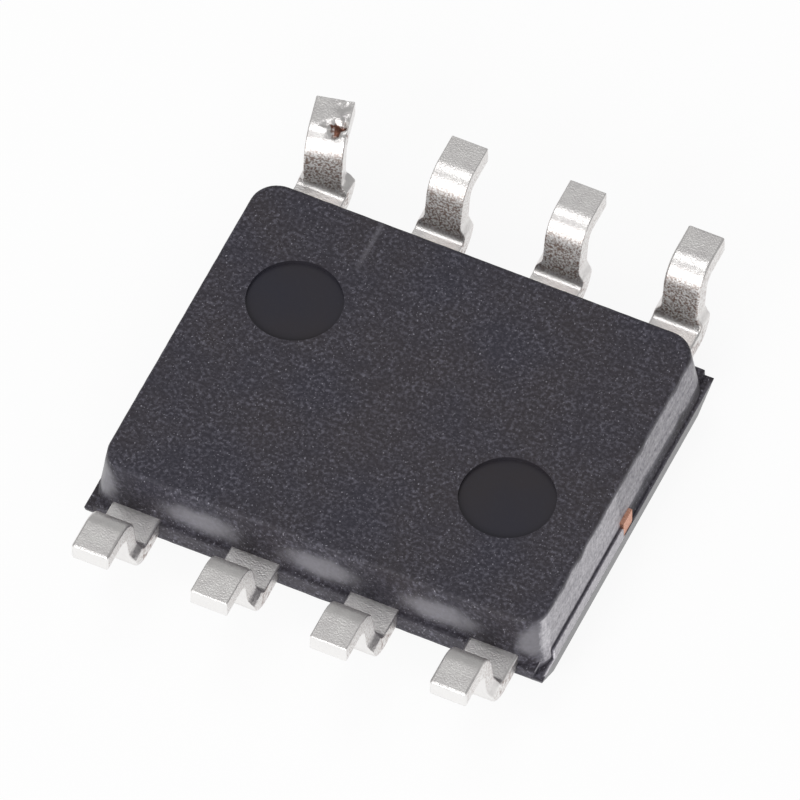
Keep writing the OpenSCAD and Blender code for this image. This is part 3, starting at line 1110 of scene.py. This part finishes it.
    def knock(self, bm: BMesh) -> None:
        """Turns, pushes and drops the leg and foot of the lead that is knocked askew.

        Args:
            bm: the lead in its own frame.
        """
        pivot = Vector((0, self.crease_y, 0))
        for vert in bm.verts:
            if vert.co.y < self.edge_y:
                continue
            t = self.above_stubs(vert.co.z)
            turn = Matrix.Rotation(math.radians(self.knock_turn) * t, 3, "Z")
            moved = turn @ (vert.co - pivot) + pivot
            vert.co = moved - Vector((0, self.knock_push * t, self.knock_drop * t))

    def gouge(self, bm: BMesh, bare: BMLayerItem) -> None:
        """Scrapes the knocked lead's foot and heel where the blows landed.

        Args:
            bm: the lead in its own frame.
            bare: layer that holds how much copper shows.
        """
        turn = Matrix.Rotation(math.radians(self.knock_turn), 2)
        foot_z = self.sole_z - self.thick - self.knock_drop + 0.02
        for blow in self.blows:
            middle = turn @ Vector((blow.x, self.formed - blow.from_tip)) + Vector((0, self.crease_y))
            for vert in bm.verts:
                if vert.co.z < foot_z:
                    continue
                away = (vert.co.xy - middle).length / blow.reach + 0.8 * noise.noise(vert.co * 17)
                share = 1 - smooth_step(0.5, 1.1, away)
                vert.co.z -= blow.depth * share
                vert[bare] = max(vert[bare], blow.copper * share)

    def bareness(self, point: Vector) -> float:
        """Works out how much copper shows where the dam bar was cut from the stubs after plating.

        Args:
            point: a point of the lead in its own frame.

        Returns:
            A number from 0 for plate to 1 for bare copper.
        """
        beside = abs(point.x) > self.shoulder_w / 2 - 0.012
        stub = self.edge_y + 0.01 < point.y < self.crease_y + 0.05
        return 0.45 if beside and stub and point.z < self.part_z + self.thick + 0.06 else 0.0

    def shape(self) -> BMesh:
        """Joins the strip to the finger.

        Returns:
            The closed lead in its own frame.
        """
        cut_y = self.edge_y - 2 * self.lip - 0.02
        bm = self.finger(cut_y)
        open_rim = [e for e in bm.edges if e.is_boundary]
        count = len(bm.verts)
        start = self.strip(bm, cut_y + 0.01)
        bm.verts.ensure_lookup_table()
        self.narrow(bm.verts[count:])
        ops.bridge_loops(bm, edges=open_rim + start)
        if self.number == KNOCKED:
            self.knock(bm)
        ops.recalc_face_normals(bm, faces=bm.faces[:])
        return bm

    def build(self, plate: Material) -> Object:
        """Makes the lead's piece.

        Args:
            plate: material of the lead.

        Returns:
            The piece, which stands for the lead's solid.
        """
        bm = self.shape()
        bare = bm.verts.layers.float.new("bare")
        for vert in bm.verts:
            vert[bare] = self.bareness(vert.co)
        if self.number == KNOCKED:
            self.gouge(bm, bare)
        ops.transform(bm, matrix=self.own_frame(), verts=bm.verts)
        piece = finish_mesh(bm, f"tinned_lead_{self.number}")
        rounding = piece.modifiers.new("stamped edges", "BEVEL")
        rounding.width = self.edge_round * MM
        rounding.segments = 3
        rounding.limit_method = "ANGLE"
        rounding.angle_limit = math.radians(50)
        piece.data.materials.append(plate)
        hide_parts(f"lead_{self.number}")
        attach(piece, "root")
        return piece


# ---- Studio ----


@dataclass
class Studio:
    """White paper, soft lights and the camera."""

    azimuth: float = 24.96  # degrees from -Y towards +X
    elevation: float = 54.38  # degrees
    view_w: float = 7.752  # width of the view at the chip, in mm
    aim: tuple = (0.0, 0.0, 1.25)  # a point of the chip near the middle of the view, in mm
    aim_off: tuple = (-0.0048, 0.0107)  # how far right and down of that middle it lies, in mm
    distance: float = 0.30  # metres from the chip, so that the view is nearly parallel
    paper_gap: float = 0.002  # mm between the marked top and the paper, so that the two don't coincide
    ambient: float = 0.385  # level of the world as light

    def paper(self) -> None:
        """Lays the white paper."""
        bm = bmesh.new()
        ops.create_grid(bm, x_segments=1, y_segments=1, size=400)
        ops.translate(bm, vec=(0, 0, -self.paper_gap), verts=bm.verts)
        sheet = finish_mesh(bm, "paper")
        sheet.data.materials.append(Paper("seamless paper", "#f4f4f4", 0.9).build())

    def camera(self) -> None:
        """Sets the camera at the viewing angle."""
        data = bpy.data.cameras.new("camera")
        data.sensor_width = 36.0
        data.lens = data.sensor_width * self.distance / (self.view_w * MM)
        data.clip_start, data.clip_end = 0.01, 2.0
        camera = bpy.data.objects.new("camera", data)
        bpy.context.scene.collection.objects.link(camera)
        a, e = math.radians(self.azimuth), math.radians(self.elevation)
        back = Vector((math.sin(a) * math.cos(e), -math.cos(a) * math.cos(e), math.sin(e)))
        turn = (-back).to_track_quat("-Z", "Y").to_matrix()
        off_right, off_down = self.aim_off
        centre = (Vector(self.aim) - turn.col[0] * off_right + turn.col[1] * off_down) * MM
        camera.matrix_world = Matrix.Translation(centre + back * self.distance) @ turn.to_4x4()
        bpy.context.scene.camera = camera

    def lamp(self, name: str, place: tuple, size: tuple, power: float) -> None:
        """Hangs a soft box that faces the chip.

        Args:
            name: name of the lamp.
            place: where it hangs, in metres.
            size: its width and height, in metres.
            power: its power, in watts.
        """
        data = bpy.data.lights.new(name, "AREA")
        data.shape = "RECTANGLE"
        data.size, data.size_y = size
        data.energy = power
        lamp = bpy.data.objects.new(name, data)
        bpy.context.scene.collection.objects.link(lamp)
        lamp.location = place
        lamp.rotation_mode = "QUATERNION"
        lamp.rotation_quaternion = Vector(place).to_track_quat("Z", "Y")

    def surroundings(self) -> None:
        """Makes the plain world: white where it is seen, and pale grey as light."""
        world = bpy.data.worlds.new("studio")
        bpy.context.scene.world = world
        world.use_nodes = True
        tree = world.node_tree
        tree.nodes.clear()
        rays = add_node(tree, "LightPath").outputs
        seen = {0: rays["Is Camera Ray"], 1: rays["Is Transmission Ray"]}
        seen = add_node(tree, "Math", seen, operation="MAXIMUM")
        light = add_node(tree, "Background", {"Color": (*(self.ambient,) * 3, 1)})
        white = add_node(tree, "Background", {"Color": (1, 1, 1, 1)})
        mixed = add_node(tree, "MixShader", {0: seen, 1: light, 2: white})
        add_node(tree, "OutputWorld", {"Surface": mixed})

    def build(self) -> None:
        """Sets everything up."""
        self.paper()
        self.camera()
        self.surroundings()
        self.lamp("window", (0.03, -0.25, 0.16), (0.25, 0.15), 0.75)
        self.lamp("overhead", (-0.05, 0.02, 0.30), (0.12, 0.12), 0.15)
        bpy.context.scene.view_settings.view_transform = "Standard"


def dress(names: Iterable[str], material: Material) -> None:
    """Gives solids of the frame a material.

    Args:
        names: the solids' names.
        material: what they get.
    """
    for name in names:
        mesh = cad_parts[name].data
        mesh.materials.clear()
        mesh.materials.append(material)
        log.info("%s: %s", name, material.name)


def main() -> None:
    """Builds the chip and its studio."""
    logging.basicConfig(level=logging.INFO, format="%(message)s")
    epoxy = MouldedEpoxy("filled epoxy, spark-eroded", "#312f35", 0.55)
    smooth = MouldedEpoxy(
        "filled epoxy, smooth", "#2b2a2f", 0.3, relief=0.0006, speck_colour="#2f2e34", painted_glint="#323138"
    )
    moulding = Moulding().build(epoxy.build(), smooth.build())
    log.info("%s: %d faces", moulding.name, len(moulding.data.polygons))
    tin = TinPlate("tin plate, matt", "#e5e2e1", 0.38).build()
    for number in range(1, 9):
        lead = Lead(number).build(tin)
        log.info("%s: %d faces", lead.name, len(lead.data.polygons))
    copper = GrainedMetal("copper alloy, sheared", "#e6b59f", 0.5, "#cf957b")
    silver = GrainedMetal("silver epoxy, cured", "#a8a49c", 0.6, "#8d8a84", metallic=0.4)
    silicon = GrainedMetal("silicon, polished", "#5d6470", 0.15, "#535a66", metallic=0.6)
    gold = GrainedMetal("gold wire, drawn", "#e0b04a", 0.25, "#d6a23c")
    dress(["die_paddle"], copper.build())
    dress(["die_attach"], silver.build())
    dress(["die"], silicon.build())
    dress([f"wire_{n}" for n in range(1, 9)], gold.build())
    Studio().build()


if __name__ == "__main__":
    main()
